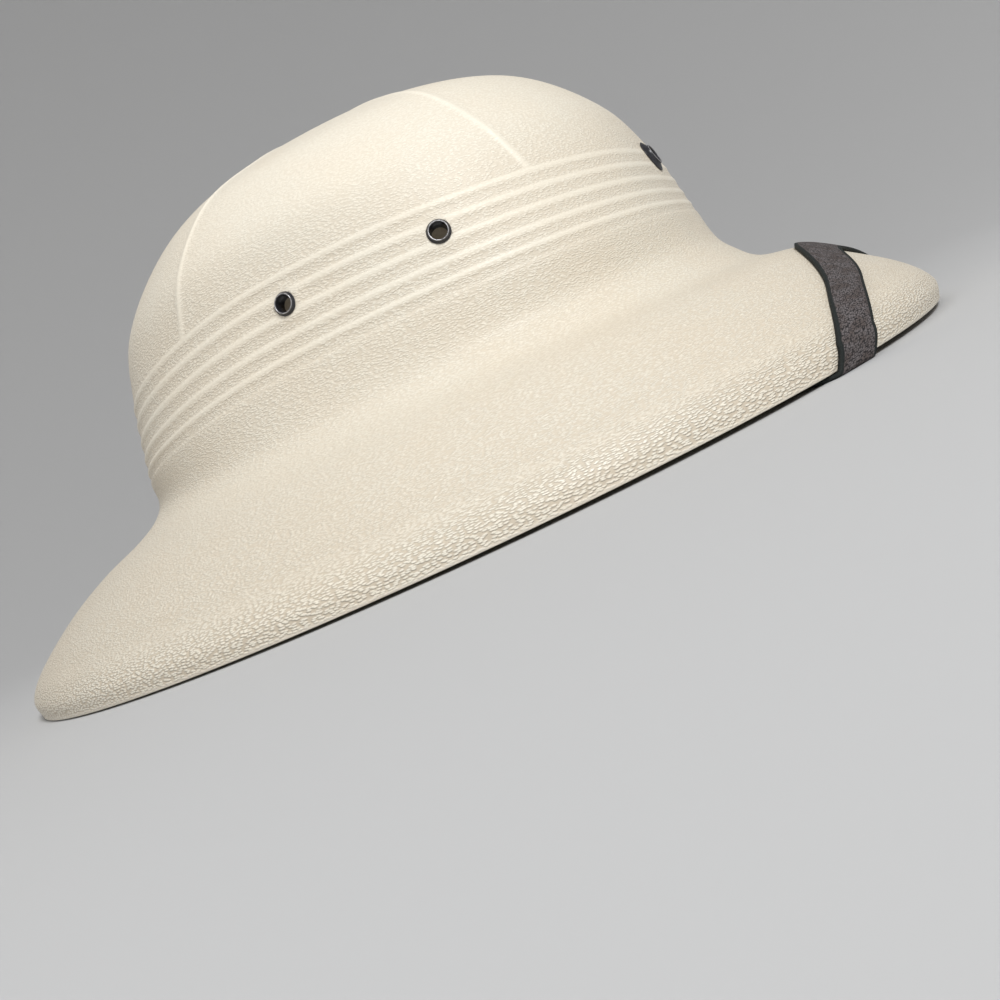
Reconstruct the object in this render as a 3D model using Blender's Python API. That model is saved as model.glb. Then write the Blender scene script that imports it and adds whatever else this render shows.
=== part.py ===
"""Pith helmet: a one-piece moulded sun helmet with pressed eyelets and an elastic chin strap.

Lengths are metres, and the tables in millimetres say so. +Z is up, the brow faces -Y and the
wearer's right side is -X. The origin lies on the surface that the helmet stands on, under the
middle of its rim.
"""
import math
from collections import namedtuple

import bmesh
import bpy
from mathutils import Matrix, Vector
from mathutils.geometry import interpolate_bezier

MM = 0.001

# ---------------------------------------------------------------------------------------------
# Driving dimensions
# ---------------------------------------------------------------------------------------------
WALL = 2.2 * MM             # moulded shell
GAP = 0.3 * MM              # between pieces that touch
INSIDE_GAP = 0.8 * MM       # between the inside of the wall, which is hollow, and a flat piece on it

# The outer skin runs from the cut edge of the rim up to the top of the crown. Each row is one
# oval of it, in millimetres: its height at the brow, at the sides and at the back, and how far
# it reaches forward, backward and to either side of the origin. A square of 2 is an ellipse, and
# more has fuller corners.
Section = namedtuple("Section", "name z_front z_side z_back front back half_width square")
SECTIONS = (
    Section("rim_edge", 0, 0, 0, 167, 165.5, 156.5, 2.0),
    Section("lip", 6, 6, 6, 167.5, 167.5, 155, 2.0),
    Section("shoulder", 14, 13.5, 14, 161, 158.5, 146, 2.1),
    Section("brim_outer", 23.5, 23, 24.5, 148.5, 143.5, 133.5, 2.1),
    Section("brim_mid", 31.5, 31, 32, 136, 128, 120.5, 2.1),
    Section("brim_inner", 35, 37.3, 36.8, 123, 113.5, 107.5, 2.1),
    Section("crease", 40.7, 41.5, 41.5, 116.5, 105, 100.5, 2.1),
    Section("foot", 47.5, 47.5, 46.5, 112, 100.5, 96, 2.15),
    Section("ridge_low", 61, 65, 51.5, 108.5, 96.3, 91.5, 2.45),
    Section("ridge_high", 80, 87, 71.5, 104.5, 91.7, 87, 2.45),
    Section("upper", 100.5, 104, 95.8, 98, 88, 83, 2.2),
    Section("round", 119.3, 120.2, 114.8, 81, 72, 68, 2.1),
    Section("dome", 129.2, 129.4, 132.2, 57, 47, 44.5, 2.1),
    Section("near_top", 135, 135.2, 137.4, 29, 24, 22.5, 2.1),
    Section("top", 138.4, 138.4, 138.4, 2, -2, 0, 2.1),
)
LEVEL = {section.name: index for index, section in enumerate(SECTIONS)}
TOP_RING = LEVEL["near_top"] + 0.6      # the last oval; the skin closes to a point above it
RING_POINTS = 64

# Moulded ridges round the crown, like the folds of a wound scarf. Each has a crest on the skin
# and a valley close under it.
RIDGES = 5
RIDGE_DEPTH = 0.7 * MM
VALLEY_BELOW_CREST = 0.3    # of the distance between two ridges

# The dome over the ridges is shaped as if it were sewn from five gores. Between two seams it is a
# little flatter. A seam starts so many degrees from the brow toward either side, and leans on by
# so many in each level of the table.
Seam = namedtuple("Seam", "start lean")
SEAMS = (Seam(-38.5, -1.3), Seam(38.5, 1.3), Seam(112.5, -4.9), Seam(180, 0))
GORE_DIP = 2.6 * MM

# Eyelets: the hole through them, the flange on the skin and how far it stands up
Eyelet = namedtuple("Eyelet", "hole_radius barrel_radius flange_radius flange_height")
SIDE_EYELET = Eyelet(2.35 * MM, 2.75 * MM, 3.5 * MM, 0.9 * MM)
FRONT_EYELET = Eyelet(2.8 * MM, 3.3 * MM, 5.6 * MM, 1.4 * MM)
CLINCH_SPREAD = 0.8 * MM    # how far the rolled inner end reaches past the barrel
CLINCH_THICK = 0.6 * MM
EYELET_POINTS = 14

# Where the eyelets are: the ridge they stand at, counted from the lowest, and the direction from
# the middle of the crown, in degrees from the brow toward the side
Vent = namedtuple("Vent", "name ridge azimuth eyelet")
SIDE_VENTS = (
    Vent("side_eyelet_fore", 3.5, 57, SIDE_EYELET),
    Vent("side_eyelet_rear", 3.5, 87, SIDE_EYELET),
)
FRONT_VENT = Vent("front_eyelet", 4.6, 0, FRONT_EYELET)

# Strap: 12 mm knitted elastic, laid across the front of the brim, folded under both sides of the
# rim and pinned inside the crown
STRAP_WIDTH = 12 * MM
STRAP_THICK = 1.2 * MM
STRAP_HALF_PLAN = 5.8 * MM  # half its width seen from above, on the slope of the brim
STRAP_AHEAD = 140.1 * MM    # from the origin forward to its middle line, at the middle of the brow
STRAP_BOW = 6.7 * MM        # how much further forward it lies ...
STRAP_BOW_AT = 55 * MM      # ... this far out to either side and beyond
STRAP_BOW_SPREAD = 1.7 * MM     # the back edge bows this much more, where the brim is steeper,
STRAP_BOW_LAG = 7 * MM      # and this much further out
STRAP_SLANT = math.radians(2.2)     # how far backward round the rim it has gone at the cut edge ...
STRAP_SLANT_FROM = 14 * MM      # ... starting at this height
STUD_LEVEL = LEVEL["foot"] + 0.4
STUD_AZIMUTH = math.radians(96)
TAB_LENGTH = 16 * MM        # the strap's end that lies flat on the wall, with the stud in its middle
RUN_RISE = 15               # degrees that it climbs where it leaves the rim for the stud
RUN_PULL = 24 * MM          # how far on it keeps its direction at either end of that run

# Stud: a plain button whose shank stands in a blind socket in the wall
STUD_HEAD_RADIUS = 4.5 * MM
STUD_HEAD_THICK = 1.4 * MM
STUD_SHANK_RADIUS = 1.6 * MM
SOCKET_DEPTH = 1.3 * MM

# The strap's two folds under the rim lift the front by the strap's thickness, so the helmet
# stands on them and on the back of its rim.
FOLD_AHEAD = 135 * MM
BACK = SECTIONS[0].back * MM
LEAN = (STRAP_THICK + GAP) / (BACK + FOLD_AHEAD)


# ---------------------------------------------------------------------------------------------
# The outer skin as a surface: level runs up the table, azimuth runs from the brow to the right
# ---------------------------------------------------------------------------------------------
def oval_at(level):
    """The table's sizes in metres, and squareness, on a smooth curve through the rows."""
    rows = [section[1:] for section in SECTIONS]
    rows.insert(0, [2 * a - b for a, b in zip(rows[0], rows[1])])
    # past the top the skin comes down on the other side
    z_front, z_side, z_back, front, back, half_width, square = rows[-2]
    rows.append((z_front, z_side, z_back, -front, -back, -half_width, square))
    low = max(0, min(int(level), len(SECTIONS) - 2))
    u = level - low
    sizes = []
    for p0, p1, p2, p3 in zip(*rows[low:low + 4]):
        second = 2 * p0 - 5 * p1 + 4 * p2 - p3
        third = 3 * p1 - p0 - 3 * p2 + p3
        sizes.append(p1 + (p2 - p0) / 2 * u + second / 2 * u**2 + third / 2 * u**3)
    return [size * MM for size in sizes[:-1]] + sizes[-1:]


def gore_dip(level, azimuth):
    """How far the dome stays back between two seams, which is most in the middle."""
    low, high = LEVEL["ridge_high"], LEVEL["near_top"]
    if not low < level < high:
        return 0
    degrees = abs(math.degrees(math.remainder(azimuth, math.tau)))
    seams = [seam.start + seam.lean * (level - low) for seam in SEAMS]
    before, after = next(pair for pair in zip(seams, seams[1:]) if degrees <= pair[1])
    across = (degrees - before) / (after - before)
    return GORE_DIP * 4 * across * (1 - across) * math.sin(math.pi * (level - low) / (high - low))


def skin(level, azimuth):
    """A point of the smooth outer skin, lifted by the lean."""
    z_front, z_side, z_back, front, back, half_width, square = oval_at(level)
    forward, outward = math.cos(azimuth), math.sin(azimuth)
    shape = abs(2 * forward / (front + back)) ** square + abs(outward / half_width) ** square
    radius = shape ** (-1 / square) - gore_dip(level, azimuth)
    z_end = z_front if forward > 0 else z_back
    y = (back - front) / 2 - radius * forward
    z = z_side + (z_end - z_side) * forward**2
    return Vector((-radius * outward, y, z + LEAN * (BACK - y)))


def skin_normal(level, azimuth):
    """The skin's outward direction."""
    step = 0.01
    upward = skin(level + step, azimuth) - skin(level - step, azimuth)
    onward = skin(level, azimuth + step) - skin(level, azimuth - step)
    return upward.cross(onward).normalized()


def under_skin(level, azimuth, depth):
    """A point inside the wall. At the rim the way in is level with the cut edge."""
    inward = -skin_normal(level, azimuth)
    if level == LEVEL["rim_edge"]:
        inward.z = -LEAN * inward.y
        inward.normalize()
    return skin(level, azimuth) + inward * depth


def is_inside(level, x, y):
    """Whether a point of the plan is inside the oval at a level."""
    *_, front, back, half_width, square = oval_at(level)
    ahead = (back - front) / 2 - y
    return abs(2 * ahead / (front + back)) ** square + abs(x / half_width) ** square < 1


def halving(test, low, high):
    """Where a test that holds at low stops holding on the way to high."""
    for _ in range(24):
        middle = (low + high) / 2
        low, high = (middle, high) if test(middle) else (low, middle)
    return low


def skin_above(x, y):
    """Level and azimuth of the skin over a point of the plan."""
    level = halving(lambda level: is_inside(level, x, y), LEVEL["rim_edge"], LEVEL["near_top"])
    *_, front, back, _, _ = oval_at(level)
    return level, math.atan2(-x, (back - front) / 2 - y)


# ---------------------------------------------------------------------------------------------
# Helpers for making objects
# ---------------------------------------------------------------------------------------------
def make_material(name, color, roughness, metallic=0.0):
    made = bpy.data.materials.new(name)
    made.use_nodes = True
    shader = made.node_tree.nodes["Principled BSDF"]
    shader.inputs["Base Color"].default_value = (*color, 1)
    shader.inputs["Roughness"].default_value = roughness
    shader.inputs["Metallic"].default_value = metallic
    return made


def make_object(name, bm, material=None):
    bmesh.ops.recalc_face_normals(bm, faces=bm.faces)
    mesh = bpy.data.meshes.new(name)
    bm.to_mesh(mesh)
    bm.free()
    mesh.shade_smooth()
    mesh.set_sharp_from_angle(angle=math.radians(40))
    if material:
        mesh.materials.append(material)
    made = bpy.data.objects.new(name, mesh)
    bpy.context.collection.objects.link(made)
    return made


def placed_on(point, direction):
    """A placement with its origin at point and its +Z along direction."""
    return Matrix.Translation(point) @ direction.to_track_quat("Z", "Y").to_matrix().to_4x4()


def cut_hole(target, name, placement, radius, low, high):
    """Cut a round hole along the placement's Z, between two heights."""
    bm = bmesh.new()
    bmesh.ops.create_cone(
        bm, cap_ends=True, segments=24, radius1=radius, radius2=radius, depth=high - low,
        matrix=placement @ Matrix.Translation((0, 0, (low + high) / 2)),
    )
    cutter = make_object(name, bm)
    cutter.hide_render = True
    cutter.display_type = "WIRE"
    cut = target.modifiers.new(name, "BOOLEAN")
    cut.operation = "DIFFERENCE"
    cut.solver = "EXACT"
    cut.object = cutter


def turned(name, profile, points, material, placement):
    """A piece turned about its Z from a profile of (radius, height), closed or ending on the axis."""
    bm = bmesh.new()
    corners = [bm.verts.new((radius, 0, height)) for radius, height in profile]
    pairs = zip(corners, corners[1:] + corners[:1])
    sides = [bm.edges.new((a, b)) for a, b in pairs if a.co.x > 0 or b.co.x > 0]
    bmesh.ops.spin(
        bm, geom=corners + sides, cent=(0, 0, 0), axis=(0, 0, 1), dvec=(0, 0, 0),
        angle=math.tau, steps=points, use_merge=True, use_duplicate=False,
    )
    bmesh.ops.remove_doubles(bm, verts=bm.verts, dist=MM / 1000)
    made = make_object(name, bm, material)
    made.matrix_world = placement
    return made


# ---------------------------------------------------------------------------------------------
# Shell: crown and brim are one moulding, open below
# ---------------------------------------------------------------------------------------------
def ridge_level(ridge):
    """Level of a ridge's crest, counted from 1 at the lowest."""
    low, high = LEVEL["ridge_low"], LEVEL["ridge_high"]
    return low + (high - low) * (ridge - 1) / (RIDGES - 1)


def outer_rings():
    """Level and depth of each oval of the outside, from just above the cut edge up."""
    rings = [(level, 0) for level in (0.5, 1, 1.5, 2, 3, 4, 5, 5.5, 6, 6.5, 7, 7.5)]
    for ridge in range(1, RIDGES + 1):
        rings.append((ridge_level(ridge - VALLEY_BELOW_CREST), RIDGE_DEPTH))
        rings.append((ridge_level(ridge), 0))
    rings += [(level / 2, 0) for level in range(2 * LEVEL["ridge_high"] + 1, 2 * LEVEL["near_top"] + 1)]
    return rings + [(TOP_RING, 0)]


def inner_rings():
    """Level and depth of each oval of the inside, from the cut edge up."""
    levels = [0, 1, 1.5, 2, 3, 4, 5, 5.5, 6, 6.5, 7, 8, 8.5, 9, 9.5, 10, 10.5, 11, 11.5, 12, 12.5, 13]
    return [(level, WALL) for level in levels + [TOP_RING]]


def grow_skin(bm, azimuth_of, edges, rings):
    """Grow a skin from a closed loop of edges through each oval in turn, and close its top."""
    for level, depth in rings:
        grown = bmesh.ops.extrude_edge_only(bm, edges=edges)["geom"]
        edges = [item for item in grown if isinstance(item, bmesh.types.BMEdge)]
        for item in grown:
            if isinstance(item, bmesh.types.BMVert):
                item.co = under_skin(level, item[azimuth_of], depth)
    lid = bmesh.ops.edgeloop_fill(bm, edges=edges)["faces"]
    tip = bmesh.ops.poke(bm, faces=lid)["verts"][0]
    tip.co.z += SECTIONS[-1].z_side * MM - oval_at(TOP_RING)[1]


def make_shell(material):
    bm = bmesh.new()
    azimuth_of = bm.verts.layers.float.new("azimuth")
    rim = bmesh.ops.create_circle(bm, segments=RING_POINTS, radius=1)["verts"]
    for index, vert in enumerate(rim):
        vert[azimuth_of] = math.tau * index / RING_POINTS
        vert.co = skin(LEVEL["rim_edge"], vert[azimuth_of])
    rim_edges = list(bm.edges)
    grow_skin(bm, azimuth_of, rim_edges, outer_rings())
    grow_skin(bm, azimuth_of, rim_edges, inner_rings())
    return make_object("helmet_shell", bm, material)


# ---------------------------------------------------------------------------------------------
# Eyelets: enamelled metal, pressed through the wall and rolled over inside
# ---------------------------------------------------------------------------------------------
def eyelet_profile(size):
    """Half section of an eyelet whose flange lies over the skin, at height 0."""
    clinch_top = -(WALL + INSIDE_GAP)
    clinch_end = clinch_top - CLINCH_THICK
    middle = (size.hole_radius + size.flange_radius) / 2
    half = (size.flange_radius - size.hole_radius) / 2
    profile = [(size.hole_radius, clinch_end)]
    for degrees in (180, 135, 90, 45, 0):
        angle = math.radians(degrees)
        height = GAP + size.flange_height * (0.25 + 0.75 * math.sin(angle))
        profile.append((middle + half * math.cos(angle), height))
    return profile + [
        (size.flange_radius, GAP),
        (size.barrel_radius, GAP),
        (size.barrel_radius, clinch_top),
        (size.barrel_radius + CLINCH_SPREAD, clinch_top),
        (size.barrel_radius + CLINCH_SPREAD, clinch_end),
    ]


def make_eyelet(vent, name, side, shell, material):
    """One eyelet and its hole. side is 1 for the wearer's right and -1 for the left."""
    level, azimuth = ridge_level(vent.ridge), side * math.radians(vent.azimuth)
    placement = placed_on(skin(level, azimuth), skin_normal(level, azimuth))
    hole_radius = vent.eyelet.barrel_radius + GAP
    cut_hole(shell, "hole_for_" + name, placement, hole_radius, -2 * WALL, WALL)
    turned(name, eyelet_profile(vent.eyelet), EYELET_POINTS, material, placement)


# ---------------------------------------------------------------------------------------------
# Strap: three lanes of points, at its front edge, middle and back edge, made from the brow to the
# right stud and mirrored
# ---------------------------------------------------------------------------------------------
LANES = (-1, 0, 1)          # -1 is the front edge
LIFT = GAP + STRAP_THICK / 2
BRIM_STEPS = 14             # from the middle of the brow to the lip
RUN_STEPS = 8               # from the fold to the stud


def lane_y(lane, x):
    """Where a lane crosses the brim, seen from above."""
    out = min(1, abs(x) / (STRAP_BOW_AT + lane * STRAP_BOW_LAG))
    bow = (STRAP_BOW + lane * STRAP_BOW_SPREAD) * (1 - math.cos(math.pi * out)) / 2
    return -STRAP_AHEAD + lane * STRAP_HALF_PLAN - bow


def slant(height):
    """How far backward round the rim the strap has gone on its way down to a height."""
    return STRAP_SLANT * max(0, 1 - height / STRAP_SLANT_FROM) ** 2


def round_the_edge(azimuth, depth, angle):
    """A point of the strap round a corner of the cut edge, at an angle from outward toward down."""
    corner = under_skin(LEVEL["rim_edge"], azimuth, depth)
    outward = skin(LEVEL["rim_edge"], azimuth) - under_skin(LEVEL["rim_edge"], azimuth, WALL)
    return corner + (outward.normalized() * math.cos(angle) - Vector((0, 0, math.sin(angle)))) * LIFT


def lane_over_brim(lane):
    """One lane from the middle of the brow, round the cut edge, to the inside of the rim."""
    x_lip = halving(lambda x: is_inside(LEVEL["lip"], x, lane_y(lane, x)), 0, -1.5 * STRAP_BOW_AT)
    # the steps get shorter toward the lip, where the brim turns down
    xs = [x_lip * math.sin(math.pi / 2 * step / BRIM_STEPS) for step in range(BRIM_STEPS + 1)]
    places = [skin_above(x, lane_y(lane, x)) for x in xs]
    lip_azimuth = places[-1][1]
    places.append((LEVEL["lip"] / 2, lip_azimuth))
    places = [(level, azimuth + slant(oval_at(level)[1])) for level, azimuth in places]
    points = [skin(*place) + skin_normal(*place) * LIFT for place in places]
    for depth, first, last in ((0, 0, 90), (WALL, 90, 90 + RUN_RISE)):
        for degrees in (first, (first + last) / 2, last):
            angle = math.radians(degrees)
            azimuth = lip_azimuth + slant(-depth - LIFT * angle)
            points.append(round_the_edge(azimuth, depth, angle))
    return points


def stud_placement():
    """On the skin where the right stud is, with +Z into the crown."""
    return placed_on(skin(STUD_LEVEL, STUD_AZIMUTH), -skin_normal(STUD_LEVEL, STUD_AZIMUTH))


def strap_rows():
    """Rows of three points from the middle of the brow to the end past the right stud."""
    rows = list(zip(*(lane_over_brim(lane) for lane in LANES)))
    before, fold = rows[-2:]
    placement = stud_placement()
    inward = placement.to_3x3() @ Vector((0, 0, 1))
    stud = placement @ Vector((0, 0, WALL + INSIDE_GAP + STRAP_THICK / 2))
    run = stud - fold[1]
    run = (run - inward * run.dot(inward)).normalized()
    # the strap makes a quarter turn, which brings its back edge lowest
    downward = run.cross(inward).normalized() * STRAP_WIDTH / 2
    if downward.z > 0:
        downward.negate()
    end = run * TAB_LENGTH / 2
    tab = [stud - end + downward * lane for lane in LANES]
    curves = [
        interpolate_bezier(
            start, start + (start - last).normalized() * RUN_PULL, stop - run * RUN_PULL, stop, RUN_STEPS + 1
        )
        for last, start, stop in zip(before, fold, tab)
    ]
    rows += list(zip(*curves))[1:]
    rows.append([stud + end + downward * lane for lane in LANES])
    return rows


def make_strap(material):
    right = strap_rows()
    left = [[Vector((-point.x, point.y, point.z)) for point in row] for row in right[1:]]
    rows = left[::-1] + right
    bm = bmesh.new()
    grid = bmesh.ops.create_grid(
        bm, x_segments=len(LANES) - 1, y_segments=len(rows) - 1, size=1
    )["verts"]
    for vert, point in zip(grid, (point for row in rows for point in row)):
        vert.co = point
    strap = make_object("chin_strap", bm, material)
    thicken = strap.modifiers.new("thickness", "SOLIDIFY")
    thicken.thickness = STRAP_THICK
    thicken.offset = 0
    return strap


# ---------------------------------------------------------------------------------------------
# Studs: plain fixings of the strap ends, out of sight inside the crown
# ---------------------------------------------------------------------------------------------
def make_stud(name, side, shell, strap, material):
    placement = stud_placement()
    if side < 0:
        placement = Matrix.Scale(-1, 4, (1, 0, 0)) @ placement @ Matrix.Scale(-1, 4, (1, 0, 0))
    floor = WALL - SOCKET_DEPTH
    head_from = WALL + INSIDE_GAP + STRAP_THICK + GAP
    head_to = head_from + STUD_HEAD_THICK
    profile = [
        (0, floor + GAP),
        (STUD_SHANK_RADIUS, floor + GAP),
        (STUD_SHANK_RADIUS, head_from),
        (STUD_HEAD_RADIUS, head_from),
        (STUD_HEAD_RADIUS, head_to - GAP),
        (STUD_HEAD_RADIUS - GAP, head_to),
        (0, head_to),
    ]
    hole_radius = STUD_SHANK_RADIUS + GAP
    cut_hole(shell, "socket_for_" + name, placement, hole_radius, floor, 2 * WALL)
    cut_hole(strap, "strap_hole_for_" + name, placement, hole_radius, WALL, head_to)
    turned(name, profile, EYELET_POINTS, material, placement)


# ---------------------------------------------------------------------------------------------
# The helmet
# ---------------------------------------------------------------------------------------------
for old in list(bpy.data.objects):
    bpy.data.objects.remove(old, do_unlink=True)

moulding = make_material("shell", (0.73, 0.65, 0.54), 0.55)
enamel = make_material("enamel", (0.012, 0.012, 0.013), 0.25, 0.3)
webbing = make_material("webbing", (0.045, 0.04, 0.04), 0.9)

shell = make_shell(moulding)
strap = make_strap(webbing)
make_eyelet(FRONT_VENT, FRONT_VENT.name, 1, shell, enamel)
for suffix, side in (("_right", 1), ("_left", -1)):
    for vent in SIDE_VENTS:
        make_eyelet(vent, vent.name + suffix, side, shell, enamel)
    make_stud("strap_stud" + suffix, side, shell, strap, enamel)
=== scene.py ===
"""Pith helmet: the finish of the moulded shell, its eyelets and its elastic chin strap.

Lengths are metres, and the tables in millimetres say so. +Z is up, the brow faces -Y and the
wearer's right side is -X. The helmet stands on Z = 0.
"""

import math
from collections import namedtuple

import bmesh
import bpy
from mathutils import Matrix, Vector
from mathutils.geometry import interpolate_bezier


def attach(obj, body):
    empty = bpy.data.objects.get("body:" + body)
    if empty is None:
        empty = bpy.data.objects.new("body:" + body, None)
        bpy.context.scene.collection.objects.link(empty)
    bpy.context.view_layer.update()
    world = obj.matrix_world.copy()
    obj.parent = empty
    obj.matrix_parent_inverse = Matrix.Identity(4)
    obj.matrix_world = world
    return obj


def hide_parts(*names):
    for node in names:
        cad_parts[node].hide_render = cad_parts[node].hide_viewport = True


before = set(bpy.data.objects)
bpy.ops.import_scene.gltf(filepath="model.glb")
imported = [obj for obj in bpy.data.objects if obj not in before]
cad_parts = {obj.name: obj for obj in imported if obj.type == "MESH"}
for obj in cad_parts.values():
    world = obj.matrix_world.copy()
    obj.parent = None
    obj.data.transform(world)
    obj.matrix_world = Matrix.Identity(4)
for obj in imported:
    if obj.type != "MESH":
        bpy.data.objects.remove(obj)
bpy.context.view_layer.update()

# =============================================================================================
# The shell. Crown and brim are one moulding of stiff sheet, 2.2 mm thick, with a cream skin that
# took a leather grain from the mould. Five pleats are pressed round the crown like a wound scarf,
# and the dome over them is pressed as five gores with a bead on each seam.
# =============================================================================================
MM = 0.001
WALL = 2.2 * MM
GAP = 0.3 * MM              # between pieces that touch
INSIDE_GAP = 0.8 * MM       # between the inside of the wall, which is hollow, and a flat piece on it

# The outer skin runs from the cut edge of the rim up to the top of the crown. Each row is one
# oval of it, in millimetres: its height at the brow, at the sides and at the back, and how far
# it reaches forward, backward and to either side of the origin. A square of 2 is an ellipse, and
# more has fuller corners.
Section = namedtuple("Section", "name z_front z_side z_back front back half_width square")
SECTIONS = (
    Section("rim_edge", 0, 0, 0, 167, 165.5, 156.5, 2.0),
    Section("lip", 6, 6, 6, 167.5, 167.5, 155, 2.0),
    Section("shoulder", 14, 13.5, 14, 161, 158.5, 146, 2.1),
    Section("brim_outer", 23.5, 23, 24.5, 148.5, 143.5, 133.5, 2.1),
    Section("brim_mid", 31.5, 31, 32, 136, 128, 120.5, 2.1),
    Section("brim_inner", 35, 37.3, 36.8, 123, 113.5, 107.5, 2.1),
    Section("crease", 40.7, 41.5, 41.5, 116.5, 105, 100.5, 2.1),
    Section("foot", 47.5, 47.5, 46.5, 112, 100.5, 96, 2.15),
    Section("ridge_low", 61, 65, 51.5, 108.5, 96.3, 91.5, 2.45),
    Section("ridge_high", 80, 87, 71.5, 104.5, 91.7, 87, 2.45),
    Section("upper", 100.5, 104, 95.8, 98, 88, 83, 2.2),
    Section("round", 119.3, 120.2, 114.8, 81, 72, 68, 2.1),
    Section("dome", 129.2, 129.4, 132.2, 57, 47, 44.5, 2.1),
    Section("near_top", 135, 135.2, 137.4, 29, 24, 22.5, 2.1),
    Section("top", 138.4, 138.4, 138.4, 2, -2, 0, 2.1),
)
LEVEL = {section.name: index for index, section in enumerate(SECTIONS)}
TOP_RING = 13.9             # level of the last oval; the skin closes to a point above it

PLEATS = 5
PLEAT_DEPTH = 0.42 * MM
PLEAT_FALL = 0.45           # share of the way down to the next crest that falls inward
PLEAT_FLARE = 0.26          # and the share that turns out again to that crest
PLEAT_FRONT = 0.6           # how deep the pleats are at the brow, as a share of their depth at the sides
PLEAT_OVER = 0.5            # how far the dome lies behind the highest crest, as a share of PLEAT_DEPTH
FLAT_MARGIN = 0.2 * MM      # the skin is flat under each eyelet and this far past its flange ...
FLAT_FADE = 4 * MM          # ... and fully pleated from this far past it

# A seam starts so many degrees from the brow toward either side, and leans on by so many in each
# level of the table
Seam = namedtuple("Seam", "start lean")
SEAMS = (Seam(-38.5, -1.3), Seam(38.5, 1.3), Seam(112.5, -4.9), Seam(180, 0))
ALL_SEAMS = (-112.5, -38.5, 38.5, 112.5, 180)
GORE_DIP = 2.6 * MM
BEAD_HEIGHT = 0.3 * MM
BEAD_HALF_WIDTH = 1.9 * MM
BEAD_START = 0.15           # in how many levels a bead rises out of the pleats
BEAD_END = 8 * MM           # the beads end this far from the middle of the crown ...
BEAD_WHOLE = 20 * MM        # ... and are whole from here out
EDGE_ROUND = 0.2 * MM       # how far in the corners of the cut edge are taken off ...
EDGE_LEVEL = 0.04           # ... and up to which level

# The strap's two folds under the rim lift the front by the strap's thickness
STRAP_THICK = 1.2 * MM
FOLD_AHEAD = 135 * MM
BACK = SECTIONS[0].back * MM
LEAN = (STRAP_THICK + GAP) / (BACK + FOLD_AHEAD)


def oval_at(level):
    """The table's sizes in metres, and squareness, on a smooth curve through the rows."""
    rows = [section[1:] for section in SECTIONS]
    rows.insert(0, [2 * a - b for a, b in zip(rows[0], rows[1])])
    # past the top the skin comes down on the other side
    z_front, z_side, z_back, front, back, half_width, square = rows[-2]
    rows.append((z_front, z_side, z_back, -front, -back, -half_width, square))
    low = max(0, min(int(level), len(SECTIONS) - 2))
    u = level - low
    sizes = []
    for p0, p1, p2, p3 in zip(*rows[low:low + 4]):
        second = 2 * p0 - 5 * p1 + 4 * p2 - p3
        third = 3 * p1 - p0 - 3 * p2 + p3
        sizes.append(p1 + (p2 - p0) / 2 * u + second / 2 * u**2 + third / 2 * u**3)
    return [size * MM for size in sizes[:-1]] + sizes[-1:]


def gore_dip(level, azimuth):
    """How far the dome stays back between two seams, which is most in the middle."""
    low, high = LEVEL["ridge_high"], LEVEL["near_top"]
    if not low < level < high:
        return 0
    degrees = abs(math.degrees(math.remainder(azimuth, math.tau)))
    seams = [seam.start + seam.lean * (level - low) for seam in SEAMS]
    before, after = next(pair for pair in zip(seams, seams[1:]) if degrees <= pair[1])
    across = (degrees - before) / (after - before)
    return GORE_DIP * 4 * across * (1 - across) * math.sin(math.pi * (level - low) / (high - low))


def beside_seams(level, azimuth):
    """Where a column of the mesh has leaned to at a level, keeping beside its seam."""
    above = max(0, level - LEVEL["ridge_high"])
    degrees = abs(math.degrees(math.remainder(azimuth, math.tau)))
    before, after = next(pair for pair in zip(SEAMS, SEAMS[1:]) if degrees <= pair[1].start)
    across = (degrees - before.start) / (after.start - before.start)
    lean = before.lean + (after.lean - before.lean) * across
    return math.copysign(math.radians(degrees + lean * above), azimuth)


def skin(level, azimuth):
    """A point of the smooth outer skin. Level runs up the table, azimuth from the brow to the right."""
    z_front, z_side, z_back, front, back, half_width, square = oval_at(level)
    forward, outward = math.cos(azimuth), math.sin(azimuth)
    shape = abs(2 * forward / (front + back)) ** square + abs(outward / half_width) ** square
    radius = shape ** (-1 / square) - gore_dip(level, azimuth)
    z_end = z_front if forward > 0 else z_back
    y = (back - front) / 2 - radius * forward
    z = z_side + (z_end - z_side) * forward**2
    return Vector((-radius * outward, y, z + LEAN * (BACK - y)))


def skin_normal(level, azimuth):
    """The skin's outward direction."""
    step = 0.01
    upward = skin(level + step, azimuth) - skin(level - step, azimuth)
    onward = skin(level, azimuth + step) - skin(level, azimuth - step)
    return upward.cross(onward).normalized()


def under_skin(level, azimuth, depth):
    """A point inside the wall. At the rim the way in is level with the cut edge."""
    inward = -skin_normal(level, azimuth)
    if level == LEVEL["rim_edge"]:
        inward.z = -LEAN * inward.y
        inward.normalize()
    return skin(level, azimuth) + inward * depth


def smooth_step(value, low, high):
    """0 at low, 1 at high, and an even rise between them."""
    share = max(0, min(1, (value - low) / (high - low)))
    return share * share * (3 - 2 * share)


def placed_on(point, direction):
    """A placement with its origin at point and its +Z along direction."""
    return Matrix.Translation(point) @ direction.to_track_quat("Z", "Y").to_matrix().to_4x4()


def pleat_level(pleat):
    """Level of a pleat's crest, counted from 1 at the lowest."""
    low, high = LEVEL["ridge_low"], LEVEL["ridge_high"]
    return low + (high - low) * (pleat - 1) / (PLEATS - 1)


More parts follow.
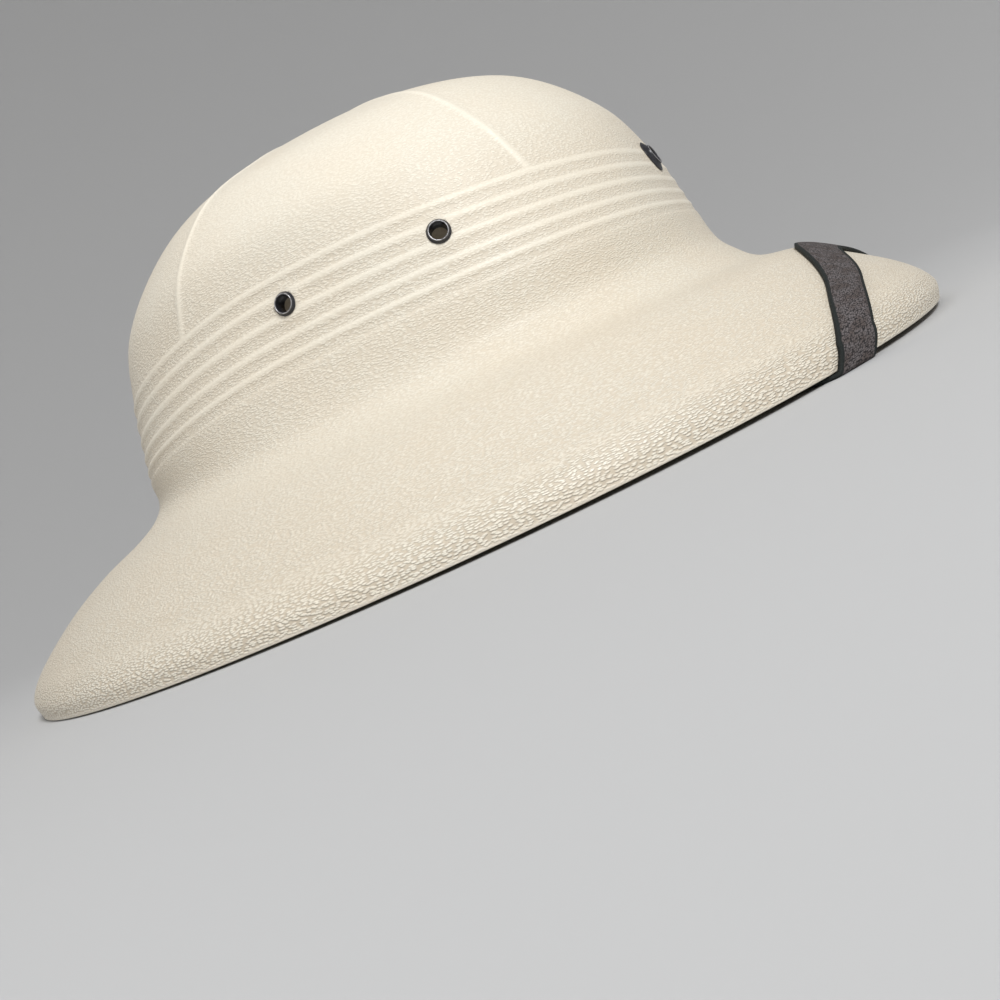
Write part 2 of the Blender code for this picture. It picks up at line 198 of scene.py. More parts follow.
# The vents: node, pleat and degrees from the brow of each eyelet, and its sizes
Eyelet = namedtuple("Eyelet", "hole_radius barrel_radius flange_radius flange_height")
SIDE_EYELET = Eyelet(2.35 * MM, 2.75 * MM, 3.5 * MM, 0.9 * MM)
FRONT_EYELET = Eyelet(2.8 * MM, 3.3 * MM, 5.6 * MM, 1.4 * MM)
Vent = namedtuple("Vent", "node pleat azimuth eyelet")
VENTS = (
    Vent("front_eyelet", 4.6, 0, FRONT_EYELET),
    Vent("side_eyelet_fore_right", 3.5, 57, SIDE_EYELET),
    Vent("side_eyelet_rear_right", 3.5, 87, SIDE_EYELET),
    Vent("side_eyelet_fore_left", 3.5, -57, SIDE_EYELET),
    Vent("side_eyelet_rear_left", 3.5, -87, SIDE_EYELET),
)


def vent_placement(vent):
    """On the skin at a vent, with +Z out of it."""
    level, azimuth = pleat_level(vent.pleat), math.radians(vent.azimuth)
    return placed_on(skin(level, azimuth), skin_normal(level, azimuth))


VENT_CENTRES = [(vent_placement(vent).translation, vent.eyelet.flange_radius) for vent in VENTS]


def pleat_depth(level, azimuth, point):
    """How far the skin lies back behind the pleats' crests. It is flat under the eyelets."""
    below = (LEVEL["ridge_high"] - level) * (PLEATS - 1)
    if not 1 - PLEATS < below < PLEATS:
        return 0
    if below < 0:
        # the highest crest stands out from the dome over it
        depth = smooth_step(-below, 0, PLEAT_FLARE) * (1 - smooth_step(-below, 1, PLEATS - 1))
        depth *= PLEAT_OVER
    else:
        share = below % 1
        depth = smooth_step(share, 0, PLEAT_FALL) - smooth_step(share, 1 - PLEAT_FLARE, 1)
    for centre, radius in VENT_CENTRES:
        depth *= smooth_step((point - centre).length, radius + FLAT_MARGIN, radius + FLAT_FADE)
    return depth * PLEAT_DEPTH * (1 - (1 - PLEAT_FRONT) * smooth_step(math.cos(azimuth), 0.3, 1))


def off_seams(azimuth, point):
    """How far a point is from the nearest seam, and from the middle of the crown."""
    turn = min(abs(math.remainder(azimuth - math.radians(seam), math.tau)) for seam in ALL_SEAMS)
    around = math.hypot(point.x, point.y)
    return turn * around, around


def bead_height(level, azimuth, point):
    """How far the beads on the dome's seams stand out. They fade where they meet at the top."""
    away, around = off_seams(azimuth, point)
    if level < LEVEL["ridge_high"] or away > BEAD_HALF_WIDTH:
        return 0
    start = smooth_step(level, LEVEL["ridge_high"], LEVEL["ridge_high"] + BEAD_START)
    rounded = (1 + math.cos(math.pi * away / BEAD_HALF_WIDTH)) / 2
    return BEAD_HEIGHT * start * rounded * smooth_step(around, BEAD_END, BEAD_WHOLE)


def finished_skin(level, azimuth):
    """A point of the outside with its pleats and beads."""
    leaned = beside_seams(level, azimuth)
    point = skin(level, leaned)
    relief = bead_height(level, azimuth, point) - pleat_depth(level, leaned, point)
    return point + skin_normal(level, leaned) * relief if relief else point


# The mesh of the shell: columns evenly round it, more of them so many degrees to either side of a
# seam and of a vent, and rings across each pleat
EVEN_COLUMNS = 216
SEAM_COLUMNS = (0, 0.3, 0.6, 0.9, 1.3)
VENT_COLUMNS = (0.4, 1.1, 1.9, 2.7, 3.5)
PLEAT_RINGS = 14


def spaced(low, high, count):
    """Count numbers from just above low to high."""
    return [low + (high - low) * step / count for step in range(1, count + 1)]


def outer_rings():
    """Level and depth of each oval of the outside, from the middle of the cut edge up."""
    rings = [(0, WALL / 4), (0, EDGE_ROUND), (EDGE_LEVEL, 0)]
    levels = spaced(EDGE_LEVEL, 2.5, 24) + spaced(2.5, 5.5, 18) + spaced(5.5, 7.75, 24)
    for pleat in range(1, PLEATS + 1):
        levels += spaced(pleat_level(pleat - 1), pleat_level(pleat), PLEAT_RINGS)
    # the beads start steeply out of the highest crest
    dome = LEVEL["ridge_high"] + 0.1
    levels += spaced(LEVEL["ridge_high"], dome, 6) + spaced(dome, TOP_RING, 52)
    return rings + [(level, 0) for level in levels]


def inner_rings():
    """Level and depth of each oval of the inside, from the middle of the cut edge up."""
    rings = [(0, WALL * 3 / 4), (0, WALL - EDGE_ROUND), (EDGE_LEVEL, WALL)]
    levels = spaced(EDGE_LEVEL, 8, 34) + spaced(8, TOP_RING, 24)
    return rings + [(level, WALL) for level in levels]


def columns():
    """Directions of the shell's columns, closer together at the seams and the vents."""
    degrees = {360 * step / EVEN_COLUMNS - 180 for step in range(EVEN_COLUMNS)}
    for seam in ALL_SEAMS:
        degrees |= {seam + side * off for side in (-1, 1) for off in SEAM_COLUMNS}
    for vent in VENTS:
        degrees |= {vent.azimuth + side * off for side in (-1, 1) for off in VENT_COLUMNS}
    degrees = {round(angle + 180, 4) % 360 - 180 for angle in degrees}
    return [math.radians(angle) for angle in sorted(degrees)]


def grow_skin(bm, layers, edges, rings, place):
    """Grow a skin from a closed loop of edges through each oval in turn, and close its top."""
    for level, depth in rings:
        grown = bmesh.ops.extrude_edge_only(bm, edges=edges)["geom"]
        edges = [item for item in grown if isinstance(item, bmesh.types.BMEdge)]
        for item in grown:
            if isinstance(item, bmesh.types.BMVert):
                item[layers["level"]] = level
                item.co = place(level, item[layers["azimuth"]], depth)
    lid = bmesh.ops.edgeloop_fill(bm, edges=edges)["faces"]
    tip = bmesh.ops.poke(bm, faces=lid)["verts"][0]
    tip[layers["level"]] = TOP_RING
    tip.co.z += 0.02 * MM


def mesh_object(name, bm, finishes):
    """An object at the origin from a bmesh, shaded smooth, with one material slot for each finish."""
    mesh = bpy.data.meshes.new(name)
    bm.to_mesh(mesh)
    bm.free()
    mesh.shade_smooth()
    for finish in finishes:
        mesh.materials.append(finish)
    made = bpy.data.objects.new(name, mesh)
    bpy.context.scene.collection.objects.link(made)
    return made


def new_finish(name, color, roughness):
    """A material and its shader, in one colour until nodes are added."""
    finish = bpy.data.materials.new(name)
    finish.use_nodes = True
    shader = finish.node_tree.nodes["Principled BSDF"]
    shader.inputs["Base Color"].default_value = (*color, 1)
    shader.inputs["Roughness"].default_value = roughness
    return finish, shader


def add_node(finish, kind, inputs, **settings):
    """Add a shader node. An input given as a socket is linked, and any other value is set."""
    made = finish.node_tree.nodes.new(kind)
    for name, value in settings.items():
        setattr(made, name, value)
    for key, value in inputs.items():
        if isinstance(value, bpy.types.NodeSocket):
            finish.node_tree.links.new(value, made.inputs[key])
        else:
            made.inputs[key].default_value = value
    return made


def combine(finish, operation, first, second, third=0.5):
    """One arithmetic step on two values."""
    inputs = {0: first, 1: second, 2: third}
    return add_node(finish, "ShaderNodeMath", inputs, operation=operation).outputs[0]


def eased(finish, value, low, high, to_low=0.0, to_high=1.0):
    """A value carried smoothly from one range to another."""
    inputs = {"Value": value, "From Min": low, "From Max": high, "To Min": to_low, "To Max": to_high}
    return add_node(finish, "ShaderNodeMapRange", inputs, interpolation_type="SMOOTHSTEP").outputs[0]


def blended(finish, share, first, second):
    """A colour between two others."""
    mix = add_node(finish, "ShaderNodeMix", {"Factor": share}, data_type="RGBA")
    for key, value in (("A", first), ("B", second)):
        socket = [item for item in mix.inputs if item.name == key and item.type == "RGBA"][0]
        if isinstance(value, bpy.types.NodeSocket):
            finish.node_tree.links.new(value, socket)
        else:
            socket.default_value = (*value, 1)
    return [item for item in mix.outputs if item.type == "RGBA"][0]


def vertex_value(finish, name):
    """A value that the mesh holds at its vertices."""
    return add_node(finish, "ShaderNodeAttribute", {}, attribute_name=name).outputs["Fac"]


def noise(finish, place, scale, detail, output="Fac", **more):
    """Soft noise, with so many waves in a metre."""
    inputs = {"Vector": place, "Scale": scale, "Detail": detail, **more}
    return add_node(finish, "ShaderNodeTexNoise", inputs).outputs[output]


def packed_cells(finish, place, scale, dimensions, randomness=1.0):
    """Cells side by side, so many in a metre: low in the middle of each, and high at its edge."""
    inputs = {"Vector": place, "Scale": scale, "Randomness": randomness}
    made = add_node(finish, "ShaderNodeTexVoronoi", inputs, voronoi_dimensions=dimensions)
    return made.outputs["Distance"]


def give_surface(finish, shader, color, height):
    """Give the shader its colour, and a bump whose height is in metres."""
    bump = add_node(finish, "ShaderNodeBump", {"Height": height, "Distance": 1.0})
    finish.node_tree.links.new(color, shader.inputs["Base Color"])
    finish.node_tree.links.new(bump.outputs[0], shader.inputs["Normal"])


# How deep the grain is at a level of the skin, in millimetres
Grain = namedtuple("Grain", "level depth")
GRAIN = (
    Grain(0, 0.0), Grain(0.06, 0.04), Grain(0.2, 0.24), Grain(1.4, 0.24),
    Grain(2.4, 0.2), Grain(4, 0.18), Grain(5.5, 0.15), Grain(6.5, 0.16),
    Grain(9, 0.16), Grain(10, 0.1), Grain(14, 0.07),
)
GRAIN_DEEPEST = 0.24 * MM
CREST_GRAIN = 0.35          # how deep the grain is on a crest or bead, as a share of the rest
GRAIN_STRETCH = 2.4         # how much longer than high a grain is
FINE_GRAIN = 860            # grains in a metre ...
RIM_GRAIN = 640             # ... and on the turned-down rim
RIM_RADIUS = 158 * MM       # which carries an angle round the helmet over to a length on the rim
GRAIN_PUSH = 0.5 * MM       # how far the grains are pushed out of line
PUSH_WAVES = 600            # in a metre

CREAM = (0.80, 0.745, 0.63)
CREAM_WARM = (0.80, 0.73, 0.605)        # the faint mottle
CREAM_CREASE_SHADE = (0.52, 0.44, 0.335)         # painted shade in the creases of the grain
CREASE_SHADE_SHARE = 0.85                     # how far the deepest crease goes toward that painted shade


def pushed(finish, place, push):
    """A place pushed out of line, so that the grains lie unevenly."""
    inputs = {0: push, 1: (GRAIN_PUSH, GRAIN_PUSH, GRAIN_PUSH), 2: place}
    return add_node(finish, "ShaderNodeVectorMath", inputs, operation="MULTIPLY_ADD").outputs[0]


def grained_finish():
    """Cream skin with a leather grain, long round the helmet, coarse on the rim and faint on top, with
    painted shade darkening the creases of the grain.
    """
    finish, shader = new_finish("cream_leather_grain", CREAM, 0.5)
    shader.inputs["Coat Weight"].default_value = 0.12
    shader.inputs["Coat Roughness"].default_value = 0.35
    place = add_node(finish, "ShaderNodeTexCoord", {}).outputs["Object"]
    x, y, _ = add_node(finish, "ShaderNodeSeparateXYZ", {0: place}).outputs
    level = vertex_value(finish, "level")
    depth = vertex_value(finish, "grain")
    tall = combine(finish, "MULTIPLY", vertex_value(finish, "rise"), GRAIN_STRETCH)
    along = add_node(finish, "ShaderNodeCombineXYZ", {0: x, 1: y, 2: tall}).outputs[0]
    push = noise(finish, along, PUSH_WAVES, 1.0, "Color")
    fine = packed_cells(finish, pushed(finish, along, push), FINE_GRAIN, "3D")
    # the grains are coarser and closer packed on the rim, where they are laid out flat
    around = combine(finish, "MULTIPLY", combine(finish, "ARCTAN2", x, y), RIM_RADIUS)
    flat = add_node(finish, "ShaderNodeCombineXYZ", {0: around, 1: tall}).outputs[0]
    coarse = packed_cells(finish, pushed(finish, flat, push), RIM_GRAIN, "2D", 0.9)
    on_rim = eased(finish, level, 1.1, 2.2, 1.0, 0.0)
    off_rim = combine(finish, "SUBTRACT", 1.0, on_rim)
    fine = combine(finish, "MULTIPLY", eased(finish, fine, 0.1, 0.75, 1.0, 0.0), off_rim)
    coarse = combine(finish, "MULTIPLY", eased(finish, coarse, 0.2, 0.62, 1.0, 0.0), on_rim)
    grain = combine(finish, "ADD", fine, coarse)
    mottle = noise(finish, place, 38, 4.0)
    cream = blended(finish, eased(finish, mottle, 0.35, 0.7), CREAM, CREAM_WARM)
    # painted shade: the creases are darker where the grain is deep
    crease = combine(finish, "MULTIPLY", combine(finish, "SUBTRACT", 1.0, grain), depth)
    crease = combine(finish, "MULTIPLY", crease, CREASE_SHADE_SHARE / GRAIN_DEEPEST)
    color = blended(finish, crease, cream, CREAM_CREASE_SHADE)
    give_surface(finish, shader, color, combine(finish, "MULTIPLY", grain, depth))
    finish.node_tree.links.new(eased(finish, grain, 0, 1, 0.6, 0.45), shader.inputs["Roughness"])
    return finish


BACK_PLAIN = (0.74, 0.66, 0.53)
BACK_DARK = (0.66, 0.58, 0.46)          # the fibre's hollows ...
BACK_PALE = (0.77, 0.69, 0.56)          # ... and its strands


def inside_finish():
    """The plain back of the sheet, which also shows on the cut edge: matt, with a faint fibre."""
    finish, shader = new_finish("plain_sheet_back", BACK_PLAIN, 0.75)
    place = add_node(finish, "ShaderNodeTexCoord", {}).outputs["Object"]
    fibre = noise(finish, place, 420, 5.0, Distortion=1.5)
    color = blended(finish, eased(finish, fibre, 0.3, 0.7), BACK_DARK, BACK_PALE)
    give_surface(finish, shader, color, combine(finish, "MULTIPLY", fibre, 0.12 * MM))
    return finish


def grain_depth(level):
    """How deep the grain is at a level, in metres."""
    before, after = next(pair for pair in zip(GRAIN, GRAIN[1:]) if level <= pair[1].level)
    share = (level - before.level) / (after.level - before.level)
    return (before.depth + (after.depth - before.depth) * share) * MM


def crest_grain(level, azimuth):
    """How much of the grain is left: the crests of the pleats and the beads took less of it."""
    below = (LEVEL["ridge_high"] - level) * (PLEATS - 1)
    away = abs(below - max(0, min(PLEATS - 1, round(below)))) / PLEAT_FLARE
    if level > LEVEL["ridge_high"]:
        away = min(away, off_seams(azimuth, skin(level, azimuth))[0] / BEAD_HALF_WIDTH)
    return CREST_GRAIN + (1 - CREST_GRAIN) * smooth_step(away, 0.3, 1)


def build_shell():
    """The outside and the inside, grown from the middle of the cut edge. The vertices hold the grain."""
    bm = bmesh.new()
    layers = {name: bm.verts.layers.float.new(name) for name in ("azimuth", "level", "rise", "grain")}
    around = columns()
    rim = bmesh.ops.create_circle(bm, segments=len(around), radius=1)["verts"]
    for vert, azimuth in zip(rim, around):
        vert[layers["azimuth"]] = azimuth
        vert.co = under_skin(LEVEL["rim_edge"], azimuth, WALL / 2)
    rim_edges = list(bm.edges)
    grow_skin(bm, layers, rim_edges, outer_rings(), lambda level, azimuth, depth: (
        under_skin(level, azimuth, depth) if depth else finished_skin(level, azimuth)
    ))
    outside = len(bm.faces)
    grow_skin(bm, layers, rim_edges, inner_rings(), under_skin)
    bm.faces.ensure_lookup_table()
    for face in bm.faces[outside:]:
        face.material_index = 1
    # how far up the skin each level is, measured along the right side
    levels = sorted({round(vert[layers["level"]], 5) for vert in bm.verts})
    rises = [0]
    for low, high in zip(levels, levels[1:]):
        rises.append(rises[-1] + (skin(high, math.pi / 2) - skin(low, math.pi / 2)).length)
    rise_at = dict(zip(levels, rises))
    for vert in bm.verts:
        level = round(vert[layers["level"]], 5)
        vert[layers["rise"]] = rise_at[level]
        vert[layers["grain"]] = grain_depth(level) * crest_grain(level, vert[layers["azimuth"]])
    bmesh.ops.recalc_face_normals(bm, faces=bm.faces)
    return mesh_object("shell", bm, (grained_finish(), inside_finish()))


PUNCH_STEPS = 40


def cut_vents(shell):
    """Punch the five holes for the eyelets."""
    bm = bmesh.new()
    for vent in VENTS:
        radius = vent.eyelet.barrel_radius + GAP
        bmesh.ops.create_cone(
            bm, cap_ends=True, segments=PUNCH_STEPS, radius1=radius, radius2=radius,
            depth=6 * WALL, matrix=vent_placement(vent),
        )
    punches = mesh_object("punches", bm, ())
    cut = shell.modifiers.new("vents", "BOOLEAN")
    cut.operation = "DIFFERENCE"
    cut.solver = "EXACT"
    cut.object = punches
    whole = shell.evaluated_get(bpy.context.evaluated_depsgraph_get())
    punched = bpy.data.meshes.new_from_object(whole)
    shell.modifiers.clear()
    shell.data = punched
    bpy.data.objects.remove(punches)


shell = build_shell()
cut_vents(shell)
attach(shell, "root")
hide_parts("helmet_shell")

# =============================================================================================
# The eyelets. Each is turned metal in black enamel: a sloping flange on the skin, a narrow ring
# round the hole, a barrel through the wall and an end rolled over inside it. The one at the brow
# is bigger.
# =============================================================================================
FLANGE_LIFT = 0.06 * MM     # of the flange's underside over the skin
FLANGE_EDGE = 0.14 * MM     # radius of its rounded outer edge
GROOVE = 0.1 * MM           # between its slope and the ring
RING_OFF_HOLE = 0.25 * MM   # between the hole and the ring
HOLE_FLARE = 0.12 * MM      # how much wider the hole is just under the ring
CLINCH_SPREAD = 0.8 * MM    # how far the rolled inner end reaches past the barrel
CLINCH_THICK = 0.6 * MM
WEAR_AND_HIGHLIGHT_FROM = 0.22 * MM       # the enamel starts to wear, and its painted highlight to show, this far below the top ...
WEAR_AND_HIGHLIGHT_FULL = 0.02 * MM       # ... and both are strongest from here up
EYELET_STEPS = 72
ENAMEL = (0.016, 0.016, 0.020)
WORN_METAL_AND_HIGHLIGHT = (0.50, 0.49, 0.50)               # the worn metal under the enamel on the raised ring, and a painted highlight there


def arc(middle, radius, first, last, steps):
    """Points of (radius, height) on an arc, with its angles in degrees from outward toward up."""
    angles = [math.radians(first + (last - first) * step / steps) for step in range(steps + 1)]
    return [(middle[0] + radius * math.cos(a), middle[1] + radius * math.sin(a)) for a in angles]


def eyelet_profile(size):
    """Half section of an eyelet, as (radius, height) over the skin."""
    ring = size.flange_height / 6
    ring_at = size.hole_radius + RING_OFF_HOLE + ring
    ring_up = GAP + size.flange_height - ring
    low = FLANGE_LIFT
    roll = CLINCH_THICK / 2
    clinch = -(WALL + INSIDE_GAP + roll)
    profile = [(size.barrel_radius, low), (size.flange_radius - 0.08 * MM, low)]
    profile += arc((size.flange_radius - FLANGE_EDGE, low + FLANGE_EDGE), FLANGE_EDGE, -60, 60, 4)
    # the flange slopes up and meets the ring in a groove
    profile.append((ring_at + ring + GROOVE, low + 0.75 * (ring_up - low)))
    profile += arc((ring_at, ring_up), ring, 0, 180, 10)
    profile += [(size.hole_radius + HOLE_FLARE, ring_up - 0.35 * MM), (size.hole_radius, -0.2 * MM)]
    profile.append((size.hole_radius, clinch))
    profile += arc((size.barrel_radius + CLINCH_SPREAD - roll, clinch), roll, -90, 90, 8)
    return profile + [(size.barrel_radius, clinch + roll)]


def spun(profile, steps, closed):
    """A surface spun about Z from a profile of (radius, height)."""
    bm = bmesh.new()
    corners = [bm.verts.new((radius, 0, height)) for radius, height in profile]
    ends = corners[1:] + corners[:1] if closed else corners[1:]
    sides = [bm.edges.new(pair) for pair in zip(corners, ends)]
    bmesh.ops.spin(
        bm, geom=corners + sides, cent=(0, 0, 0), axis=(0, 0, 1), dvec=(0, 0, 0),
        angle=math.tau, steps=steps, use_merge=True, use_duplicate=False,
    )
    bmesh.ops.remove_doubles(bm, verts=bm.verts, dist=MM / 1000)
    bmesh.ops.recalc_face_normals(bm, faces=bm.faces)
    return bm


def turned(name, profile, steps, placement, finish, closed):
    """A turned piece, from a profile that is closed or ends on the axis, worn and given a painted highlight
    at its highest.
    """
    bm = spun(profile, steps, closed)
    wear_and_highlight = bm.verts.layers.float.new("wear_and_highlight")
    top = max(vert.co.z for vert in bm.verts)
    for vert in bm.verts:
        vert[wear_and_highlight] = smooth_step(vert.co.z, top - WEAR_AND_HIGHLIGHT_FROM, top - WEAR_AND_HIGHLIGHT_FULL)
    bmesh.ops.transform(bm, matrix=placement, verts=bm.verts)
    return mesh_object(name, bm, (finish,))


def enamel_finish():
    """Black enamel, glossy, a little uneven, and rubbed thin on the raised ring, where the grey also paints
    a highlight.
    """
    finish, shader = new_finish("black_enamel", ENAMEL, 0.3)
    place = add_node(finish, "ShaderNodeTexCoord", {}).outputs["Object"]
    uneven = noise(finish, place, 900, 3.0)
    rubbed_and_highlight = eased(finish, uneven, 0.3, 0.6, 0.35, 0.9)
    rubbed_and_highlight = combine(finish, "MULTIPLY", vertex_value(finish, "wear_and_highlight"), rubbed_and_highlight)
    # worn grey metal on the raised ring, partly a painted highlight
    color = blended(finish, rubbed_and_highlight, ENAMEL, WORN_METAL_AND_HIGHLIGHT)
    give_surface(finish, shader, color, combine(finish, "MULTIPLY", uneven, 0.02 * MM))
    finish.node_tree.links.new(rubbed_and_highlight, shader.inputs["Metallic"])
    finish.node_tree.links.new(eased(finish, uneven, 0.2, 0.8, 0.24, 0.4), shader.inputs["Roughness"])
    return finish


enamel = enamel_finish()
for vent in VENTS:
    eyelet = turned(
        vent.node + "_turned", eyelet_profile(vent.eyelet), EYELET_STEPS, vent_placement(vent), enamel, True
    )
    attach(eyelet, "root")
    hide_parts(vent.node)

# =============================================================================================
# The chin strap. It is 12 mm wide elastic, knitted in charcoal yarn with a firm dark edge on either
# side. It lies across the front of the brim, folds under both sides of the rim and runs back to
# the studs inside the crown.
# =============================================================================================
STRAP_WIDTH = 12 * MM
STRAP_HALF_PLAN = 5.8 * MM          # half its width seen from above, on the slope of the brim
STRAP_AHEAD = 140.1 * MM            # from the origin forward to its middle line, at the middle of the brow
STRAP_BOW = 6.7 * MM                # how much further forward it lies ...
STRAP_BOW_AT = 55 * MM              # ... this far out to either side and beyond
STRAP_BOW_SPREAD = 1.7 * MM         # the back edge bows this much more, where the brim is steeper,
STRAP_BOW_LAG = 7 * MM              # and this much further out
STRAP_SLANT = math.radians(2.2)     # how far backward round the rim it has gone at the cut edge ...
STRAP_SLANT_FROM = 14 * MM          # ... starting at this height
LIFT = GAP + STRAP_THICK / 2        # of its middle over what it lies on

STUD_LEVEL = LEVEL["foot"] + 0.4
STUD_AZIMUTH = math.radians(96)
TAB_LENGTH = 16 * MM                # of its flat end at the stud
RUN_RISE = 15                       # degrees past level at which it leaves the rim for the stud
RUN_PULL = 24 * MM                  # how stiffly it bends at both ends of that run

LANES = 24                          # quads across
BRIM_STEPS = 110
FOLD_STEPS = 6                      # round each corner of the rim
RUN_STEPS = 110
TAB_STEPS = 14

STITCH = 0.65 * MM
SELVEDGE = 0.8 * MM
YARN_LIT = (0.145, 0.128, 0.128)
YARN_BROWN = (0.100, 0.080, 0.074)
# painted shade: the yarn's colour in the hollows of the knit
YARN_HOLLOW_SHADE = (0.022, 0.020, 0.020)
EDGE_DARK = (0.014, 0.017, 0.016)


def is_inside(level, x, y):
    """Whether a point of the plan is inside the oval at a level."""
    *_, front, back, half_width, square = oval_at(level)
    ahead = (back - front) / 2 - y
    return abs(2 * ahead / (front + back)) ** square + abs(x / half_width) ** square < 1


def halving(test, low, high):
    """Where a test that holds at low stops holding on the way to high."""
    for _ in range(24):
        middle = (low + high) / 2
        low, high = (middle, high) if test(middle) else (low, middle)
    return low


def skin_above(x, y):
    """Level and azimuth of the skin over a point of the plan."""
    level = halving(lambda level: is_inside(level, x, y), LEVEL["rim_edge"], LEVEL["near_top"])
    *_, front, back, _, _ = oval_at(level)
    return level, math.atan2(-x, (back - front) / 2 - y)


def lane_y(lane, x):
    """Where a lane crosses the brim, seen from above."""
    out = min(1, abs(x) / (STRAP_BOW_AT + lane * STRAP_BOW_LAG))
    bow = (STRAP_BOW + lane * STRAP_BOW_SPREAD) * (1 - math.cos(math.pi * out)) / 2
    return -STRAP_AHEAD + lane * STRAP_HALF_PLAN - bow


def slant(height):
    """How far backward round the rim the strap has gone on its way down to a height."""
    return STRAP_SLANT * max(0, 1 - height / STRAP_SLANT_FROM) ** 2


def round_the_edge(azimuth, depth, angle):
    """A point of the strap round a corner of the cut edge, at an angle from outward toward down."""
    corner = under_skin(LEVEL["rim_edge"], azimuth, depth)
    outward = skin(LEVEL["rim_edge"], azimuth) - under_skin(LEVEL["rim_edge"], azimuth, WALL)
    return corner + (outward.normalized() * math.cos(angle) - Vector((0, 0, math.sin(angle)))) * LIFT


def lane_over_brim(lane):
    """One lane from the middle of the brow, round the cut edge, to the inside of the rim."""
    x_lip = halving(lambda x: is_inside(LEVEL["lip"], x, lane_y(lane, x)), 0, -1.5 * STRAP_BOW_AT)
    xs = [x_lip * math.sin(math.pi / 2 * step / BRIM_STEPS) for step in range(BRIM_STEPS + 1)]
    places = [skin_above(x, lane_y(lane, x)) for x in xs]
    lip_azimuth = places[-1][1]
    places += [(LEVEL["lip"] * share, lip_azimuth) for share in (0.85, 0.7, 0.55, 0.4, 0.25, 0.12)]
    places = [(level, azimuth + slant(oval_at(level)[1])) for level, azimuth in places]
    points = [skin(*place) + skin_normal(*place) * LIFT for place in places]
    for depth, first, last in ((0, 0, 90), (WALL, 90, 90 + RUN_RISE)):
        for step in range(FOLD_STEPS + 1):
            angle = math.radians(first + (last - first) * step / FOLD_STEPS)
            azimuth = lip_azimuth + slant(-depth - LIFT * angle)
            points.append(round_the_edge(azimuth, depth, angle))
    return points


def stud_placement():
    """On the skin where the right stud is, with +Z into the crown."""
    return placed_on(skin(STUD_LEVEL, STUD_AZIMUTH), -skin_normal(STUD_LEVEL, STUD_AZIMUTH))


def strap_rows():
    """Rows of points across the strap, from the middle of the brow to the end past the right stud."""
    lanes = [2 * step / LANES - 1 for step in range(LANES + 1)]
    rows = list(zip(*(lane_over_brim(lane) for lane in lanes)))
    before, fold = rows[-2:]
    placement = stud_placement()
    inward = placement.to_3x3() @ Vector((0, 0, 1))
    stud = placement @ Vector((0, 0, WALL + INSIDE_GAP + STRAP_THICK / 2))
    run = stud - fold[LANES // 2]
    run = (run - inward * run.dot(inward)).normalized()
    # the strap makes a quarter turn, which brings its back edge lowest
    downward = run.cross(inward).normalized() * STRAP_WIDTH / 2
    if downward.z > 0:
        downward.negate()
    end = run * TAB_LENGTH / 2
    tab = [stud - end + downward * lane for lane in lanes]
    curves = []
    for last, start, stop in zip(before, fold, tab):
        leaving = (start - last).normalized() * RUN_PULL
        curves.append(interpolate_bezier(start, start + leaving, stop - run * RUN_PULL, stop, RUN_STEPS + 1))
    rows += list(zip(*curves))[1:]
    rows += [[point + end * 2 * step / TAB_STEPS for point in tab] for step in range(1, TAB_STEPS + 1)]
    return rows


def elastic_finish():
    """Knitted elastic: close stitches in mottled charcoal and brown yarn with painted shade in the hollows
    between them, and plain dark edges.
    """
    finish, shader = new_finish("charcoal_elastic", YARN_LIT, 0.8)
    shader.inputs["Specular IOR Level"].default_value = 0.25
    weave = add_node(finish, "ShaderNodeUVMap", {}, uv_map="weave").outputs[0]
    across = add_node(finish, "ShaderNodeSeparateXYZ", {0: weave}).outputs[0]
    speckle = noise(finish, weave, 1100, 2.0, Roughness=0.6)
    patch = noise(finish, weave, 260, 2.0)
    stitch = packed_cells(finish, weave, 1 / STITCH, "2D", 0.75)
    stitch = eased(finish, stitch, 0.2, 0.65, 1.0, 0.0)
    selvedge = STRAP_WIDTH / 2 - SELVEDGE
    off_middle = combine(finish, "ABSOLUTE", across, 0)
    edge = eased(finish, off_middle, selvedge - 0.25 * MM, selvedge + 0.1 * MM)
    lit = combine(finish, "ADD", combine(finish, "MULTIPLY", stitch, 0.35), speckle)
    yarn = blended(finish, eased(finish, patch, 0.4, 0.62), YARN_LIT, YARN_BROWN)
    # painted shade: the yarn is darker where stitch and speckle are low, just as the bump is
    yarn = blended(finish, eased(finish, lit, 0.4, 0.9), YARN_HOLLOW_SHADE, yarn)
    color = blended(finish, edge, yarn, EDGE_DARK)
    fuzz = combine(finish, "ADD", combine(finish, "MULTIPLY", stitch, 0.4), speckle)
    fuzz = combine(finish, "MULTIPLY", fuzz, eased(finish, edge, 0, 1, 1.0, 0.3))
    give_surface(finish, shader, color, combine(finish, "MULTIPLY", fuzz, 0.3 * MM))
    return finish


